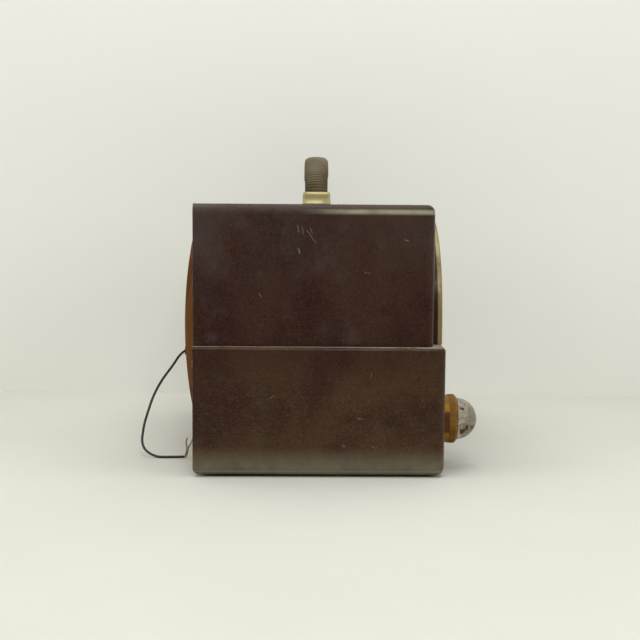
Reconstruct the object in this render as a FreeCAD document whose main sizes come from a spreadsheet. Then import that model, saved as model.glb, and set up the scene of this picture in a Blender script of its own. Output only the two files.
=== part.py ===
import FreeCAD, Part
import math
import os
import re

# A mains table radio: two-stage moulded cabinet, arched dial, domed knobs, carry handle.
# Millimetres. X to the right seen from the front, Y to the back, Z up.
# The origin is on the table under the middle of the object without its aerial lead.

doc = FreeCAD.newDocument("table_radio")

SIZES = {
    # cabinet
    "case_width": 330,
    "ledge_width": 7,
    "floor_height": 1.7,
    "seam_height": 116,
    "case_height": 241,
    "front_plane": -102.8,
    "upper_plane": -92.3,
    "rear_plane": 120,
    "wall": 4,
    "shelf_width": 25,
    "shelf_depth": 30,
    "foot_radius": 8,
    "foot_inset": 26,
    # bowed rear cover
    "cover_thick": 3,
    "cover_face": 119,
    "cover_bow": 20.2,
    "bow_depth": 20,
    "bow_half_width": 148,
    "bow_half_height": 125,
    "bow_middle": 125,
    # arched dial
    "arch_half_width": 138,
    "arch_top": 229,
    "arch_radius": 95,
    "rim_depth": 5.65,
    "trim_depth": 4,
    "pivot_height": 124,
    "grille_radius": 82,
    # knobs
    "knob_spacing": 118,
    "knob_height": 45.4,
    "skirt_radius": 22.4,
    "skirt_length": 14.4,
    "skirt_back": -103.6,
    "skirt_bevel": 2.4,
    "sleeve_length": 6.7,
    "sleeve_step": 0.45,
    "tooth_depth": 0.45,
    "dome_radius": 19,
    "dome_rise": 0,
    "hub_radius": 10,
    "shaft_radius": 3,
    "running_gap": 0.05,
    # tuning drive and capacitor
    "drum_cord_radius": 36,
    "spindle_cord_radius": 4,
    "drive_cord_radius": 0.45,
    "drive_plane": -11,
    "vane_radius": 23,
    "vane_pitch": 4,
    "vane_thick": 0.8,
    # chassis
    "chassis_half_width": 135,
    "chassis_front": -72,
    "chassis_back": 98,
    "chassis_bottom": 16,
    "chassis_top": 62,
    "sheet_thick": 1.2,
    # loudspeaker
    "speaker_radius": 43,
    "speaker_height": 172,
    "cone_radius": 34,
    "baffle_front": -87.3,
    "baffle_thick": 4,
    # handle
    "handle_y": 11.5,
    "handle_half_span": 95,
    "handle_top": 285.3,
    "grip_width": 22,
    "grip_thick": 12,
    "grip_bend": 26,
    "ferrule_height": 11,
    "ferrule_length": 26,
    "ferrule_width": 26,
    # aerial lead
    "lead_radius": 1.2,
    "strand_radius": 0.62,
    "grommet_x": -30,
    "grommet_z": 96,
    "grommet_face": 139.4,
    "grommet_stand": 1.3,
}

# Fillet radii
CASE_EDGE = 7
LEDGE_EDGE = 3.5
GRIP_EDGE = 5
TRIM_EDGE = 1.2
FERRULE_EDGE = 1.5

# Fixed places on the chassis deck, X and Y
VALVES = {
    "valve_converter": (-50, 75),
    "valve_if_amplifier": (-90, 75),
    "valve_detector": (-118, 30),
    "valve_output": (58, 75),
    "valve_rectifier": (98, 75),
}
CANS = {"if_can_first": (-50, 28), "if_can_second": (-84, 28)}
MOUNT_X = 125
MOUNT_Y = (-55, 85)
POST_X = 150
POST_Y = (-78, 105)
COVER_SCREWS = [(x, z) for x in (-156, 156) for z in (22, 100)]
COVER_SCREWS += [(x, 231) for x in (-110, 110)]

# The aerial lead's route from the grommet to its bare end, flat on the table at the end
LEAD_ROUTE = [
    (-30, 139.4, 96),
    (-30.8, 144.6, 92.6),
    (-33.8, 151, 81.9),
    (-39.5, 160.6, 69.6),
    (-48.2, 168.6, 54.8),
    (-58.7, 173.4, 38.4),
    (-66.5, 176.2, 27),
    (-79.4, 176.9, 9.7),
    (-86, 164.1, 1.3),
    (-86.6, 149.5, 1.3),
    (-85, 135.4, 1.3),
]
STRAND_ROUTES = [
    [(-85, 135.4, 1.95), (-85, 134.3, 2.1), (-85, 133.4, 5.9), (-85.1, 132.5, 11), (-85.4, 133.5, 13.2),
     (-85.5, 133.5, 16.6), (-85.4, 132.4, 19.6)],
    [(-85, 135.4, 0.68), (-84.9, 133.7, 0.7), (-84.9, 132.1, 5.3), (-84.9, 131.2, 10.8), (-84.5, 129.4, 13.2),
     (-84.3, 128.2, 16), (-84.2, 127.6, 18.2)],
]
BEND_SHARE = 0.45
KNOB_TEETH = 90

sheet = doc.addObject("Spreadsheet::Sheet", "Sizes")
for row, (alias, value) in enumerate(SIZES.items(), 1):
    sheet.set("A%d" % row, alias)
    sheet.set("B%d" % row, str(value))
    sheet.setAlias("B%d" % row, alias)
doc.recompute()

nodes = []


def size(alias):
    return float(sheet.get(alias))


def bound(text):
    """The text as an expression in which each alias names its cell."""
    return re.sub(r"[a-z][a-z_]*[a-z]", lambda m: "Sizes." + m[0] if m[0] in SIZES else m[0], str(text))


def bind(obj, **sizes):
    for name, text in sizes.items():
        obj.setExpression(name, bound(text))


def put(obj, x, y, z):
    """The object's base point follows the sheet."""
    for axis, text in zip("xyz", (x, y, z)):
        obj.setExpression("Placement.Base." + axis, bound(text))


def box(x, y, z):
    """A block between pairs of planes."""
    obj = doc.addObject("Part::Box", "Block")
    lengths = ["(%s) - (%s)" % (pair[1], pair[0]) for pair in (x, y, z)]
    bind(obj, Length=lengths[0], Width=lengths[1], Height=lengths[2])
    put(obj, x[0], y[0], z[0])
    return obj


def round_bar(axis, centre, span, radius):
    """A cylinder along X, Y or Z; centre holds its place on the other two axes."""
    obj = doc.addObject("Part::Cylinder", "RoundBar")
    bind(obj, Radius=radius, Height="(%s) - (%s)" % (span[1], span[0]))
    return turned(obj, axis, centre, span[0])


def cone(axis, centre, span, start_radius, end_radius):
    obj = doc.addObject("Part::Cone", "Taper")
    bind(obj, Radius1=start_radius, Radius2=end_radius, Height="(%s) - (%s)" % (span[1], span[0]))
    return turned(obj, axis, centre, span[0])


def turned(obj, axis, centre, start):
    """Lays a shape made along Z along another axis, from start."""
    spins = {
        "X": (FreeCAD.Rotation(FreeCAD.Vector(0, 1, 0), 90), (start, centre[0], centre[1])),
        "Y": (FreeCAD.Rotation(FreeCAD.Vector(1, 0, 0), -90), (centre[0], start, centre[1])),
        "Z": (FreeCAD.Rotation(), (centre[0], centre[1], start)),
    }
    rotation, base = spins[axis]
    obj.Placement = FreeCAD.Placement(FreeCAD.Vector(), rotation)
    put(obj, *base)
    return obj


def ball(centre, radius):
    obj = doc.addObject("Part::Sphere", "Ball")
    bind(obj, Radius=radius)
    put(obj, *centre)
    return obj


def fuse(*parts):
    obj = doc.addObject("Part::MultiFuse", "Joined")
    obj.Shapes = list(parts)
    obj.Refine = True
    return obj


def common(*parts):
    obj = doc.addObject("Part::MultiCommon", "Shared")
    obj.Shapes = list(parts)
    return obj


def group(*parts):
    """Separate solids kept in one object."""
    obj = doc.addObject("Part::Compound", "Group")
    obj.Links = list(parts)
    return obj


def cut(base, *tools):
    obj = doc.addObject("Part::Cut", "Opened")
    obj.Base = base
    obj.Tool = tools[0] if len(tools) == 1 else group(*tools)
    return obj


def rounded(base, radius, wanted):
    """Rounds each edge for which wanted(midpoint, length, box) holds."""
    doc.recompute()
    obj = doc.addObject("Part::Fillet", "Rounded")
    obj.Base = base
    picked = []
    for index, edge in enumerate(base.Shape.Edges, 1):
        middle = edge.valueAt((edge.FirstParameter + edge.LastParameter) / 2)
        if wanted(middle, edge.Length, edge.BoundBox):
            picked.append((index, radius, radius))
    obj.Edges = picked
    return obj


def solid(label, shape):
    """A plain shape object, for forms the primitives don't cover."""
    obj = doc.addObject("Part::Feature", label)
    obj.Shape = shape
    obj.Placement = FreeCAD.Placement()
    return obj


def node(label, obj):
    """Marks an object as one separate piece, saved under its label."""
    obj.Label = label
    nodes.append(obj)
    return obj


def arch(inset, y, bottom_inset):
    """The arched dial outline moved inwards by inset, as a slab between two y planes."""
    half = "arch_half_width - %s" % inset
    top = "arch_top - %s" % inset
    radius = "arch_radius - %s" % inset
    bottom = "seam_height + %s" % bottom_inset
    inner = "(%s) - (%s)" % (half, radius)
    shoulder = "(%s) - (%s)" % (top, radius)
    corners = [round_bar("Y", ("%s(%s)" % (side, inner), shoulder), y, radius) for side in ("-", "")]
    middle = box(("-(%s)" % inner, inner), y, (bottom, top))
    legs = box(("-(%s)" % half, half), y, (bottom, shoulder))
    clear = box(("-(%s)" % half, half), y, (bottom, top))
    return fuse(legs, common(fuse(middle, *corners), clear))


def half_disc(radius, y):
    """The part of a disc about the dial pivot that lies above the dial's bottom bar."""
    disc = round_bar("Y", ("0", "pivot_height"), y, radius)
    window = box(("-arch_half_width", "arch_half_width"), y, ("seam_height + 4", "case_height"))
    return common(disc, window)


# ---------------------------------------------------------------- cabinet

def make_lower_cabinet():
    half = "case_width / 2"
    body = box(("-" + half, half), ("front_plane", "rear_plane"), ("floor_height", "seam_height"))
    front, floor, seam = size("front_plane"), size("floor_height"), size("seam_height")
    side = size("case_width") / 2
    body = rounded(
        body,
        CASE_EDGE,
        lambda m, n, b: (abs(m.y - front) < 1 and abs(abs(m.x) - side) < 1) or abs(m.z - floor) < 1,
    )
    rear = size("rear_plane")
    body = rounded(
        body,
        LEDGE_EDGE,
        lambda m, n, b: abs(m.z - seam) < 0.1 and b.YMin < rear - 1,
    )
    inside = box(
        ("-(%s - wall)" % half, "%s - wall" % half),
        ("front_plane + wall", "rear_plane + 1"),
        ("floor_height + wall", "seam_height - wall"),
    )
    mouth = box(
        ("-(%s - shelf_width)" % half, "%s - shelf_width" % half),
        ("front_plane + shelf_depth", "rear_plane + 1"),
        ("floor_height + wall + 1", "seam_height + 1"),
    )
    rebate = box((-154, 154), ("cover_face - 8", "rear_plane + 1"),
                 ("seam_height - wall - 1", "seam_height + 1"))
    tools = [inside, mouth, rebate]
    for x in ("-knob_spacing", "knob_spacing"):
        tools.append(round_bar("Y", (x, "knob_height"), ("front_plane - 1", "front_plane + wall + 1"), 5))
    for x in range(-90, 91, 18):
        tools.append(box((x - 2, x + 2), (-40, 60), ("floor_height - 1", "floor_height + wall + 1")))
    body = cut(body, *tools)
    posts = []
    drills = []
    for x in (-MOUNT_X, MOUNT_X):
        for y in MOUNT_Y:
            posts.append(round_bar("Z", (x, y), ("floor_height + wall - 1", "chassis_bottom"), 6))
            drills.append(round_bar("Z", (x, y), ("floor_height - 1", "chassis_bottom + 1"), 2))
    for x, z in COVER_SCREWS:
        if z < size("seam_height"):
            posts.append(cover_post(x, z))
            drills.append(cover_drill(x, z))
    for x in (-POST_X, POST_X):
        for y in POST_Y:
            drills.append(round_bar("Z", (x, y), ("seam_height - wall - 1", "seam_height + 1"), 2))
    node("lower_cabinet", cut(fuse(body, *posts), *drills))


def cover_post(x, z):
    """A moulded boss that carries one screw of the rear cover, out to the nearest wall."""
    depth = ("cover_face - cover_thick - 14", "cover_face - cover_thick")
    if z > size("seam_height"):
        return box((x - 5, x + 5), depth, (z - 5, "case_height - 2"))
    if x > 0:
        return box((x - 5, "case_width / 2 - 2"), depth, (z - 5, z + 5))
    return box(("2 - case_width / 2", x + 5), depth, (z - 5, z + 5))


def cover_drill(x, z):
    return round_bar("Y", (x, z), ("cover_face - cover_thick - 10", "cover_face"), 1.4)


def make_upper_cabinet():
    half = "(case_width / 2 - ledge_width)"
    body = box(("-" + half, half), ("upper_plane", "rear_plane"), ("seam_height", "case_height"))
    front, top = size("upper_plane"), size("case_height")
    side = size("case_width") / 2 - size("ledge_width")
    rear = size("rear_plane")
    body = rounded(
        body,
        CASE_EDGE,
        lambda m, n, b: (abs(m.y - front) < 1 and abs(abs(m.x) - side) < 1)
        or (abs(m.z - top) < 1 and b.YMin < rear - 1),
    )
    rim = arch("0", ("upper_plane - rim_depth", "upper_plane + 1"), "0")
    inside = box(
        ("-(%s - wall)" % half, "%s - wall" % half),
        ("upper_plane + wall", "rear_plane + 1"),
        ("seam_height - 1", "case_height - wall"),
    )
    window = arch("7", ("upper_plane - rim_depth - 1", "upper_plane + wall + 1"), "3")
    body = cut(fuse(body, rim), inside, window)
    posts = []
    drills = []
    for x in (-POST_X, POST_X):
        for y in POST_Y:
            posts.append(round_bar("Z", (x, y), ("seam_height", "seam_height + 20"), 4.5))
            drills.append(round_bar("Z", (x, y), ("seam_height - 1", "seam_height + 15"), 1.5))
    for x, z in COVER_SCREWS:
        if z > size("seam_height"):
            posts.append(cover_post(x, z))
            drills.append(cover_drill(x, z))
    for x in ("-handle_half_span", "handle_half_span"):
        drills.append(round_bar("Z", (x, "handle_y"), ("case_height - wall - 1", "case_height + 1"), 2.2))
    for x, z in BAFFLE_SCREWS:
        drills.append(round_bar("Y", (x, z), ("baffle_front - 4", "baffle_front"), 1.2))
    node("upper_cabinet", cut(fuse(body, *posts), *drills))


BAFFLE_SCREWS = [(x, z) for x in (-136.5, 136.5) for z in (140, 226)]


def screw(axis, centre, head, shank_end, radius, head_radius):
    """A pan-head screw; head is the pair of head planes, first the outer one."""
    outer, seat = head
    low = "min(%s; %s)" % (outer, seat)
    high = "max(%s; %s)" % (outer, seat)
    shank_low = "min(%s; %s)" % (seat, shank_end)
    shank_high = "max(%s; %s)" % (seat, shank_end)
    cap = round_bar(axis, centre, (low, high), head_radius)
    shank = round_bar(axis, centre, (shank_low, shank_high), radius)
    slot_middle = "(%s)" % outer
    if axis == "Z":
        slot = box(("%s - %s" % (centre[0], head_radius), "%s + %s" % (centre[0], head_radius)),
                   ("%s - 0.4" % centre[1], "%s + 0.4" % centre[1]),
                   ("%s - 0.7" % slot_middle, "%s + 0.7" % slot_middle))
    else:
        slot = box(("%s - %s" % (centre[0], head_radius), "%s + %s" % (centre[0], head_radius)),
                   ("%s - 0.7" % slot_middle, "%s + 0.7" % slot_middle),
                   ("%s - 0.4" % centre[1], "%s + 0.4" % centre[1]))
    return cut(fuse(cap, shank), slot)


def make_cabinet_screws():
    screws = []
    for x in (-POST_X, POST_X):
        for y in POST_Y:
            head = ("seam_height - wall - 2", "seam_height - wall")
            screws.append(screw("Z", (x, y), head, "seam_height + 14", 1.5, 3.4))
    node("cabinet_screws", group(*screws))


def make_feet():
    feet = []
    for x in ("-(case_width / 2 - foot_inset)", "case_width / 2 - foot_inset"):
        for y in ("front_plane + foot_inset", "rear_plane - foot_inset"):
            feet.append(round_bar("Z", (x, y), ("0", "floor_height"), "foot_radius"))
    node("feet", group(*feet))


# ---------------------------------------------------------------- rear cover

def bow(inwards):
    """The ellipsoid whose cap is the cover's bowed middle, offset inwards."""
    obj = doc.addObject("Part::Ellipsoid", "Bow")
    spread = "sqrt(1 - pow(bow_depth / (bow_depth + cover_bow); 2))"
    bind(
        obj,
        Radius1="bow_half_height / %s - %s" % (spread, inwards),
        Radius2="bow_half_width / %s - %s" % (spread, inwards),
        Radius3="bow_depth + cover_bow - %s" % inwards,
    )
    put(obj, "0", "cover_face - bow_depth", "bow_middle")
    return obj


def make_rear_cover():
    sheet_y = ("cover_face - cover_thick", "cover_face")
    lower = box(("-(case_width / 2 - wall - 0.5)", "case_width / 2 - wall - 0.5"), sheet_y,
                ("floor_height + wall + 0.5", "seam_height - wall - 0.5"))
    upper = box(("-151.5", "151.5"), sheet_y, ("seam_height - wall - 0.5", "case_height - wall - 0.5"))
    inside = ("floor_height + wall + 0.5", "case_height - wall - 0.5")
    cap = common(bow("0"), box((-160, 160), ("cover_face - 1", "cover_face + 30"), inside))
    skin = cut(fuse(lower, upper, cap), bow("cover_thick"))
    tools = []
    for x in range(-112, 113, 14):
        for low, high in ((154, 190), (48, 72)):
            if not (high < 100 and x > 60):
                tools.append(box((x - 2.2, x + 2.2), (100, 145), (low, high)))
    tools.append(box((69.5, 110.5), (100, 145), (25.5, 44.5)))
    tools.append(round_bar("Y", ("grommet_x", "grommet_z"), (110, 150), 2.8))
    for x, z in COVER_SCREWS:
        tools.append(round_bar("Y", (x, z), (110, 130), 1.8))
    node("rear_cover", cut(skin, *tools))


def make_cover_screws():
    screws = []
    for x, z in COVER_SCREWS:
        screws.append(screw("Y", (x, z), ("cover_face + 1.8", "cover_face"), "cover_face - 12", 1.4, 3.2))
    node("rear_cover_screws", group(*screws))


def make_grommet():
    at = ("grommet_x", "grommet_z")
    flange = round_bar("Y", at, ("grommet_face - grommet_stand", "grommet_face"), 4.2)
    stem = round_bar("Y", at, ("grommet_face - 7", "grommet_face - grommet_stand"), 2.8)
    node("lead_grommet", fuse(flange, stem))


def make_loop_aerial():
    y = ("cover_face - cover_thick - 2", "cover_face - cover_thick")
    board = box((-138, 138), y, (56, 222))
    hole = box((-116, 116), y, (80, 198))
    node("loop_aerial", cut(board, hole))


# ---------------------------------------------------------------- dial and loudspeaker

def make_dial():
    y = ("upper_plane - rim_depth - trim_depth", "upper_plane - rim_depth")
    ring = cut(arch("0", y, "0"), arch("9", y, "6"))
    front = size("upper_plane") - size("rim_depth") - size("trim_depth")
    ring = rounded(ring, TRIM_EDGE, lambda m, n, b: abs(b.YMin - front) < 0.01 and abs(b.YMax - front) < 0.01)
    node("dial_trim", ring)
    window_y = ("upper_plane - rim_depth", "upper_plane - rim_depth + 2")
    node("dial_window", arch("7.2", window_y, "4.2"))
    plate_y = ("baffle_front - 1", "baffle_front")
    plate = cut(arch("4", plate_y, "2"), half_disc("grille_radius", plate_y))
    node("dial_plate", plate)
    cloth = half_disc("grille_radius", plate_y)
    hole = round_bar("Y", ("0", "pivot_height"), plate_y, 5)
    node("grille_cloth", cut(cloth, hole))
    ring_y = ("baffle_front - 4", "baffle_front - 1")
    node("grille_ring", cut(half_disc("grille_radius + 2", ring_y), half_disc("grille_radius - 2", ring_y)))


def make_baffle():
    y = ("baffle_front", "baffle_front + baffle_thick")
    board = box((-140, 140), y, ("seam_height + 1", "case_height - 6"))
    speaker_hole = round_bar("Y", ("0", "speaker_height"), y, "cone_radius")
    pivot_hole = round_bar("Y", ("0", "pivot_height"), y, 5)
    holes = [round_bar("Y", (x, z), y, 1.8) for x, z in BAFFLE_SCREWS]
    node("baffle_board", cut(board, speaker_hole, pivot_hole, *holes))
    back = "baffle_front + baffle_thick"
    screws = [screw("Y", at, (back + " + 1.6", back), "baffle_front - 3.4", 1.2, 3) for at in BAFFLE_SCREWS]
    node("baffle_screws", group(*screws))


def make_speaker():
    at = ("0", "speaker_height")
    seat = "baffle_front + baffle_thick"
    flange = round_bar("Y", at, (seat, seat + " + 1.5"), "speaker_radius")
    shell = cone("Y", at, (seat, seat + " + 28"), "cone_radius + 5", 21)
    bore = cone("Y", at, (seat + " - 0.01", seat + " + 26.5"), "cone_radius + 3.5", 19.5)
    windows = []
    window_y = (seat + " + 6", seat + " + 20")
    for x in (-1, 1):
        reach = (min(0, 60 * x), max(0, 60 * x))
        windows.append(box(reach, window_y, ("speaker_height - 9", "speaker_height + 9")))
    windows.append(box((-9, 9), window_y, ("speaker_height - 60", "speaker_height + 60")))
    node("speaker_basket", cut(fuse(flange, shell), bore, *windows))
    paper = cone("Y", at, (seat + " + 0.5", seat + " + 24"), "cone_radius", 10)
    hollow = cone("Y", at, (seat + " + 0.4", seat + " + 23"), "cone_radius - 1", 9)
    surround = cut(round_bar("Y", at, (seat, seat + " + 0.5"), "cone_radius + 2.8"),
                   round_bar("Y", at, (seat + " - 1", seat + " + 1"), "cone_radius - 1"))
    cap = cut(ball(("0", seat + " + 30", "speaker_height"), 12),
              box((-20, 20), (seat + " + 24", seat + " + 50"), (140, 200)))
    node("speaker_cone", fuse(cut(paper, hollow), surround, cap))
    pot = round_bar("Y", at, (seat + " + 28", seat + " + 50"), 20)
    plate = round_bar("Y", at, (seat + " + 50", seat + " + 53"), 15)
    node("speaker_magnet", fuse(pot, plate))


def make_lamp():
    z = "case_height - 12"
    back = "baffle_front + baffle_thick"
    bracket = fuse(box((58, 72), (back, back + " + 1.2"), (z + " - 16", z + " - 2")),
                   box((58, 72), (back, back + " + 14"), (z + " - 3.2", z + " - 2")))
    base = round_bar("Z", ("65", back + " + 8"), (z + " - 12", z + " - 3.2"), 4.5)
    node("lamp_holder", fuse(bracket, base))
    bulb = fuse(round_bar("Z", ("65", back + " + 8"), (z + " - 22", z + " - 12"), 4),
                ball(("65", back + " + 8", z + " - 22"), 5))
    node("dial_lamp", bulb)


# ---------------------------------------------------------------- handle

def grip_section(width, thick, edge):
    """A rounded rectangle about the origin: width along Y, thickness along X."""
    half_y = width / 2
    half_x = thick / 2
    corners = [(1, 1), (-1, 1), (-1, -1), (1, -1)]
    edges = []
    ends = []
    for number, (sx, sy) in enumerate(corners):
        centre = FreeCAD.Vector(sx * (half_x - edge), sy * (half_y - edge), 0)
        start = math.pi / 2 * number
        turns = (start, start + math.pi / 4, start + math.pi / 2)
        ends.append([centre + FreeCAD.Vector(edge * math.cos(t), edge * math.sin(t), 0) for t in turns])
    for number, arc in enumerate(ends):
        edges.append(Part.Arc(*arc).toShape())
        edges.append(Part.LineSegment(arc[2], ends[(number + 1) % 4][0]).toShape())
    return Part.Wire(edges)


def handle_path(start_z):
    """Up from the left ferrule, across and down to the right one."""
    span = size("handle_half_span")
    bend = size("grip_bend")
    top = size("handle_top") - size("grip_thick") / 2
    y = size("handle_y")
    slant = bend * math.sin(math.pi / 4)
    left = FreeCAD.Vector(-span, y, top - bend)
    left_mid = FreeCAD.Vector(-span + bend - slant, y, top - bend + slant)
    left_top = FreeCAD.Vector(-span + bend, y, top)
    right_top, right_mid, right = [FreeCAD.Vector(-p.x, p.y, p.z) for p in (left_top, left_mid, left)]
    edges = [
        Part.LineSegment(FreeCAD.Vector(-span, y, start_z), left).toShape(),
        Part.Arc(left, left_mid, left_top).toShape(),
        Part.LineSegment(left_top, right_top).toShape(),
        Part.Arc(right_top, right_mid, right).toShape(),
        Part.LineSegment(right, FreeCAD.Vector(span, y, start_z)).toShape(),
    ]
    return Part.Wire(edges)


def along_handle(start_z, width, thick, edge):
    section = grip_section(width, thick, edge)
    section.translate(FreeCAD.Vector(-size("handle_half_span"), size("handle_y"), start_z))
    return handle_path(start_z).makePipeShell([section], True, True)


def make_handle():
    top = size("case_height") + size("ferrule_height")
    core_width, core_thick = 14, 2
    strap = along_handle(top - 6, core_width, core_thick, 0.9)
    grip = along_handle(top, size("grip_width"), size("grip_thick"), GRIP_EDGE)
    grip = grip.cut(strap)
    node("handle_grip", solid("handle_grip", grip))
    node("handle_strap", solid("handle_strap", strap))
    for side, label in (("-", "handle_ferrule_left"), ("", "handle_ferrule_right")):
        x = side + "handle_half_span"
        block = box((x + " - ferrule_length / 2", x + " + ferrule_length / 2"),
                    ("handle_y - ferrule_width / 2", "handle_y + ferrule_width / 2"),
                    ("case_height", "case_height + ferrule_height"))
        roof = size("case_height") + size("ferrule_height")
        block = rounded(block, FERRULE_EDGE, lambda m, n, b: m.z > size("case_height") + 1)
        pocket = box((x + " - 1", x + " + 1"), ("handle_y - 7", "handle_y + 7"),
                     ("case_height + ferrule_height - 6", "case_height + ferrule_height + 1"))
        drill = round_bar("Z", (x, "handle_y"), ("case_height - 1", "case_height + 4.7"), 2)
        node(label, cut(block, pocket, drill))
    screws = []
    for x in ("-handle_half_span", "handle_half_span"):
        head = ("case_height - wall - 2.2", "case_height - wall")
        screws.append(screw("Z", (x, "handle_y"), head, "case_height + 4.6", 2, 4))
    node("handle_screws", group(*screws))


# ---------------------------------------------------------------- knobs and controls

def toothed_blank(centre, back, front):
    """A ring blank with fine straight teeth, between two Y planes."""
    points = []
    for step in range(2 * KNOB_TEETH):
        reach = size("skirt_radius") - (step % 2) * size("tooth_depth")
        angle = math.pi * step / KNOB_TEETH
        rim = FreeCAD.Vector(reach * math.cos(angle), back, reach * math.sin(angle))
        points.append(centre + rim)
    points.append(points[0])
    return Part.Face(Part.makePolygon(points)).extrude(FreeCAD.Vector(0, front - back, 0))


def forward_disc(centre, back, front, radius, front_radius=None):
    """A disc or cone about the knob's axis, from its back plane forward."""
    base = FreeCAD.Vector(centre.x, back, centre.z)
    forward = FreeCAD.Vector(0, -1, 0)
    if front_radius is None:
        return Part.makeCylinder(radius, back - front, base, forward)
    return Part.makeCone(radius, front_radius, back - front, base, forward)


def knob_skirt(x):
    """The skirt: a plain sleeve behind, then the toothed band with a bevelled front edge, with one bore."""
    centre = FreeCAD.Vector(x, 0, size("knob_height"))
    radius, bevel = size("skirt_radius"), size("skirt_bevel")
    back = size("skirt_back")
    band_back = back - size("sleeve_length")
    front = back - size("skirt_length")
    limits = forward_disc(centre, band_back, front + bevel, radius)
    limits = limits.fuse(forward_disc(centre, front + bevel, front, radius, radius - bevel))
    band = toothed_blank(centre, band_back, front).common(limits)
    sleeve = forward_disc(centre, back, band_back, radius - size("sleeve_step"))
    bore = forward_disc(centre, back + 1, front - 1, size("dome_radius"))
    return band.fuse(sleeve).cut(bore)


def make_knob(name, side):
    x = side + "knob_spacing"
    at = (x, "knob_height")
    back = "skirt_back"
    front = "(skirt_back - skirt_length)"
    stem = round_bar("Y", at, (back + " - 4.4", "front_plane - 0.8"), "hub_radius")
    bore = round_bar("Y", at, (back + " - 3.4", "front_plane"), "shaft_radius")
    node(name + "_hub", cut(stem, bore))
    x_mm = size("knob_spacing") * (-1 if side else 1)
    node(name + "_skirt", solid(name + "_skirt", knob_skirt(x_mm)))
    disc = round_bar("Y", at, (back + " - 2.2", back), "dome_radius")
    disc_hole = round_bar("Y", at, (back + " - 3", back + " + 1"), "hub_radius")
    node(name + "_insert", cut(disc, disc_hole))
    base = front + " - dome_rise"
    plug = round_bar("Y", at, (base, back + " - 4.4"), "dome_radius")
    shell = common(ball((x, base, "knob_height"), "dome_radius"),
                   box((x + " - 30", x + " + 30"), (front + " - 30", base), (0, 90)))
    node(name + "_dome", fuse(plug, shell))


def make_volume_control():
    at = ("-knob_spacing", "knob_height")
    body = fuse(round_bar("Y", at, ("chassis_front + sheet_thick", "chassis_front + 14"), 12),
                round_bar("Y", at, ("chassis_front - 6", "chassis_front + sheet_thick"), 4.75))
    bore = round_bar("Y", at, ("chassis_front - 7", "chassis_front + 12"), "shaft_radius + running_gap")
    node("volume_control", cut(body, bore))
    node("volume_shaft", round_bar("Y", at, ("skirt_back - 3.4", "chassis_front + 11"), "shaft_radius"))


def make_tuning_spindle():
    at = ("knob_spacing", "knob_height")
    shaft = round_bar("Y", at, ("skirt_back - 3.4", "drive_plane + 9"), "shaft_radius")
    reel = fuse(round_bar("Y", at, ("drive_plane - 3", "drive_plane - 1"), "spindle_cord_radius + 1.5"),
                round_bar("Y", at, ("drive_plane + 1", "drive_plane + 3"), "spindle_cord_radius + 1.5"),
                round_bar("Y", at, ("drive_plane - 1", "drive_plane + 1"), "spindle_cord_radius - 0.75"))
    node("tuning_spindle", fuse(shaft, reel))
    bush = round_bar("Y", at, ("chassis_front - 6", "chassis_front + 8"), 4.75)
    bore = round_bar("Y", at, ("chassis_front - 7", "chassis_front + 9"), "shaft_radius + running_gap")
    node("tuning_bush", cut(bush, bore))


# ---------------------------------------------------------------- chassis and what stands on it

def make_chassis():
    half = "chassis_half_width"
    shell = cut(
        box(("-" + half, half), ("chassis_front", "chassis_back"), ("chassis_bottom", "chassis_top")),
        box(("-(%s - sheet_thick)" % half, "%s - sheet_thick" % half),
            ("chassis_front + sheet_thick", "chassis_back - sheet_thick"),
            ("chassis_bottom - 1", "chassis_top - sheet_thick")),
    )
    flange_y = ("chassis_front", "chassis_back")
    flange_z = ("chassis_bottom", "chassis_bottom + sheet_thick")
    flanges = [
        box(("-" + half, "-(%s - 18)" % half), flange_y, flange_z),
        box(("%s - 18" % half, half), flange_y, flange_z),
        box(("knob_spacing - 10", "knob_spacing + 10"), ("drive_plane + 6", "drive_plane + 6 + sheet_thick"),
            ("knob_height - 12", "chassis_top - sheet_thick")),
    ]
    spindle = ("knob_spacing", "knob_height")
    tools = [
        box((52, 116), ("drive_plane - 4", "drive_plane + 4"), ("chassis_top - 5", "chassis_top + 1")),
        round_bar("Y", spindle, ("drive_plane + 5", "drive_plane + 9"), "shaft_radius + running_gap"),
    ]
    for x in ("-knob_spacing", "knob_spacing"):
        tools.append(round_bar("Y", (x, "knob_height"), ("chassis_front - 1", "chassis_front + 2"), 4.75))
    for x, y in VALVES.values():
        tools.append(round_bar("Z", (x, y), ("chassis_top - 2", "chassis_top + 1"), 8))
    for x in (-MOUNT_X, MOUNT_X):
        for y in MOUNT_Y:
            tools.append(round_bar("Z", (x, y), ("chassis_bottom - 1", "chassis_bottom + 2"), 2))
    node("chassis", cut(fuse(shell, *flanges), *tools))
    screws = []
    for x in (-MOUNT_X, MOUNT_X):
        for y in MOUNT_Y:
            head = ("0.3", "floor_height")
            screws.append(screw("Z", (x, y), head, "chassis_bottom + sheet_thick + 3", 2, 4))
    node("chassis_screws", group(*screws))


def make_valves():
    sockets = []
    for label, (x, y) in VALVES.items():
        deck = "chassis_top"
        flange = round_bar("Z", (x, y), (deck, deck + " + 3"), 11)
        body = round_bar("Z", (x, y), (deck + " - 9", deck), 8)
        sockets.append(fuse(flange, body))
        glass = round_bar("Z", (x, y), (deck + " + 3", deck + " + 42"), 9.5)
        crown = common(ball((x, y, deck + " + 42"), 9.5),
                       box((x - 10, x + 10), (y - 10, y + 10), (deck + " + 42", deck + " + 60")))
        tip = cone("Z", (x, y), (deck + " + 50", deck + " + 55"), 2.5, 0.8)
        node(label, fuse(glass, crown, tip))
    node("valve_sockets", group(*sockets))


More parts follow.
